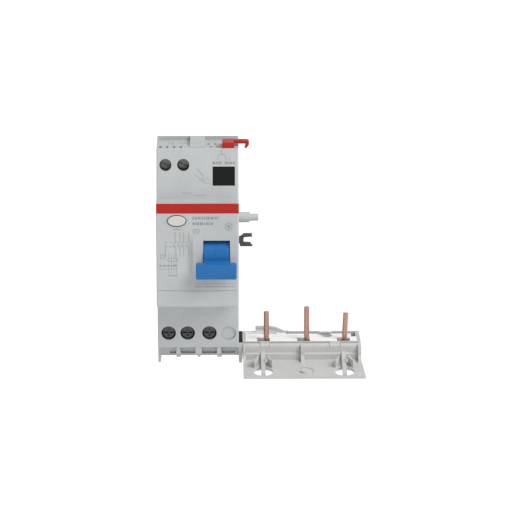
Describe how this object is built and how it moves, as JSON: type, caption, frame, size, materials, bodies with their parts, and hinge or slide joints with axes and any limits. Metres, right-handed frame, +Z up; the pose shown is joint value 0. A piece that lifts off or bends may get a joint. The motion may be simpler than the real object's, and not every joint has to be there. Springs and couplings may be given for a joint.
{
  "type": "residual current add-on block",
  "caption": "Two-module rail-mounted residual current block with a blue toggle, an oval test button and a side arm carrying copper pins.",
  "frame": {"origin": "on the seating plane of the 35 mm rail, at mid-width of the case and on the rail's centre line", "axes": "+X to the right along the rail, +Y into the wall, +Z up"},
  "size_m": [0.0894, 0.075, 0.1005],
  "materials": {
    "case_grey": "fine moulded texture",
    "arm_grey": "moulded",
    "light_carrier": "moulded",
    "red_plastic": "satin",
    "blue_plastic": "satin",
    "button_white": "satin",
    "black_plastic": "matt",
    "dark_plastic": "matt",
    "plated_steel": "zinc plated",
    "spring_steel": "bright",
    "bare_copper": "drawn copper",
    "wire_sleeve": "insulated",
    "core_metal": "sintered",
    "enamelled_copper": "enamelled copper",
    "frame_plastic": "moulded",
    "brass_clamp": "plain",
    "board_green": "solder mask",
    "component_dark": "moulded"
  },
  "bodies": {
    "root": {"housing_shell": "case_grey", "side_cover": "case_grey", "case_rivets": "plated_steel", "front_stripe": "red_plastic", "blanking_disc": "case_grey", "square_plug": "black_plastic", "coupling_peg": "case_grey", "mechanism_frame": "frame_plastic", "toggle_shaft": "plated_steel", "toggle_spring": "spring_steel", "fork_shaft": "plated_steel", "test_spring": "spring_steel", "test_contact": "bare_copper", "terminal_tongues": "bare_copper", "remote_clamps": "brass_clamp", "toroid_core": "core_metal", "toroid_winding": "enamelled_copper", "primary_conductor_1": "wire_sleeve", "primary_conductor_2": "wire_sleeve", "primary_conductor_3": "wire_sleeve", "trip_relay": "frame_plastic", "circuit_board": "board_green", "board_components": "component_dark", "test_resistor": "plated_steel", "clip_spring": "spring_steel", "arm_bracket": "arm_grey", "conductor_guard": "black_plastic", "arm_housing": "arm_grey", "arm_top_plate": "light_carrier", "arm_latch": "arm_grey", "arm_bottom_cover": "arm_grey", "copper_pin_1": "bare_copper", "copper_pin_2": "bare_copper", "copper_pin_3": "bare_copper", "flap_hinge_pin": "plated_steel"},
    "toggle": {"toggle": "blue_plastic"},
    "trip_fork": {"trip_fork": "dark_plastic"},
    "test_button": {"test_button": "button_white"},
    "lock_slider": {"lock_slider": "red_plastic"},
    "din_clip": {"din_clip": "dark_plastic"},
    "relay_plunger": {"relay_plunger": "spring_steel"},
    "terminal_flap": {"terminal_flap": "arm_grey"},
    "main_screw_1": {"main_screw_1": "plated_steel"},
    "clamp_cage_1": {"clamp_cage_1": "plated_steel"},
    "main_screw_2": {"main_screw_2": "plated_steel"},
    "clamp_cage_2": {"clamp_cage_2": "plated_steel"},
    "main_screw_3": {"main_screw_3": "plated_steel"},
    "clamp_cage_3": {"clamp_cage_3": "plated_steel"},
    "remote_screw_1": {"remote_screw_1": "plated_steel"},
    "remote_screw_2": {"remote_screw_2": "plated_steel"}
  },
  "joints": [
    {"name": "toggle_swing", "type": "hinge", "parent": "root", "child": "toggle", "pos_m": [0.0078, -0.053, -0.001], "axis": [-1, 0, 0], "range_deg": [0, 38]},
    {"name": "fork_swing", "type": "hinge", "parent": "root", "child": "trip_fork", "pos_m": [0.0154, -0.034, 0.0033], "axis": [-1, 0, 0], "range_deg": [-17, 0]},
    {"name": "test_press", "type": "slide", "parent": "root", "child": "test_button", "axis": [0, 1, 0], "range_m": [0, 0.0018], "stiffness_N_per_m": 300, "springref_m": -0.002, "deforming": ["test_spring"]},
    {"name": "lock_slide", "type": "slide", "parent": "root", "child": "lock_slider", "axis": [-1, 0, 0], "range_m": [0, 0.0022]},
    {"name": "flap_fold", "type": "hinge", "parent": "root", "child": "terminal_flap", "pos_m": [0.0448, -0.038, -0.0457], "axis": [-1, 0, 0], "range_deg": [0, 90]},
    {"name": "clip_slide", "type": "slide", "parent": "root", "child": "din_clip", "axis": [0, 0, -1], "range_m": [0, 0.004], "stiffness_N_per_m": 800, "springref_m": -0.003, "deforming": ["clip_spring"]},
    {"name": "plunger_slide", "type": "slide", "parent": "root", "child": "relay_plunger", "axis": [0, -1, 0], "range_m": [0, 0.0015]},
    {"name": "screw_turn_1", "type": "hinge", "parent": "root", "child": "main_screw_1", "pos_m": [-0.0128, -0.04, -0.038], "axis": [0, 1, 0], "range_deg": [0, 1260]},
    {"name": "cage_rise_1", "type": "slide", "parent": "root", "child": "clamp_cage_1", "axis": [0, -1, 0], "range_m": [0, 0.0028]},
    {"name": "screw_turn_2", "type": "hinge", "parent": "root", "child": "main_screw_2", "pos_m": [-0.0046, -0.04, -0.038], "axis": [0, 1, 0], "range_deg": [0, 1260]},
    {"name": "cage_rise_2", "type": "slide", "parent": "root", "child": "clamp_cage_2", "axis": [0, -1, 0], "range_m": [0, 0.0028]},
    {"name": "screw_turn_3", "type": "hinge", "parent": "root", "child": "main_screw_3", "pos_m": [0.0048, -0.04, -0.038], "axis": [0, 1, 0], "range_deg": [0, 1260]},
    {"name": "cage_rise_3", "type": "slide", "parent": "root", "child": "clamp_cage_3", "axis": [0, -1, 0], "range_m": [0, 0.0028]},
    {"name": "remote_screw_turn_1", "type": "hinge", "parent": "root", "child": "remote_screw_1", "pos_m": [-0.0137, -0.038, 0.0361], "axis": [0, 1, 0], "range_deg": [0, 720]},
    {"name": "remote_screw_turn_2", "type": "hinge", "parent": "root", "child": "remote_screw_2", "pos_m": [-0.0061, -0.038, 0.0361], "axis": [0, 1, 0], "range_deg": [0, 720]}
  ],
  "couplings": [
    {"joint": "fork_swing", "follows": "toggle_swing", "ratio": -0.447},
    {"joint": "screw_turn_1", "follows": "cage_rise_1", "rad_per_m": 7854},
    {"joint": "screw_turn_2", "follows": "cage_rise_2", "rad_per_m": 7854},
    {"joint": "screw_turn_3", "follows": "cage_rise_3", "rad_per_m": 7854}
  ]
}
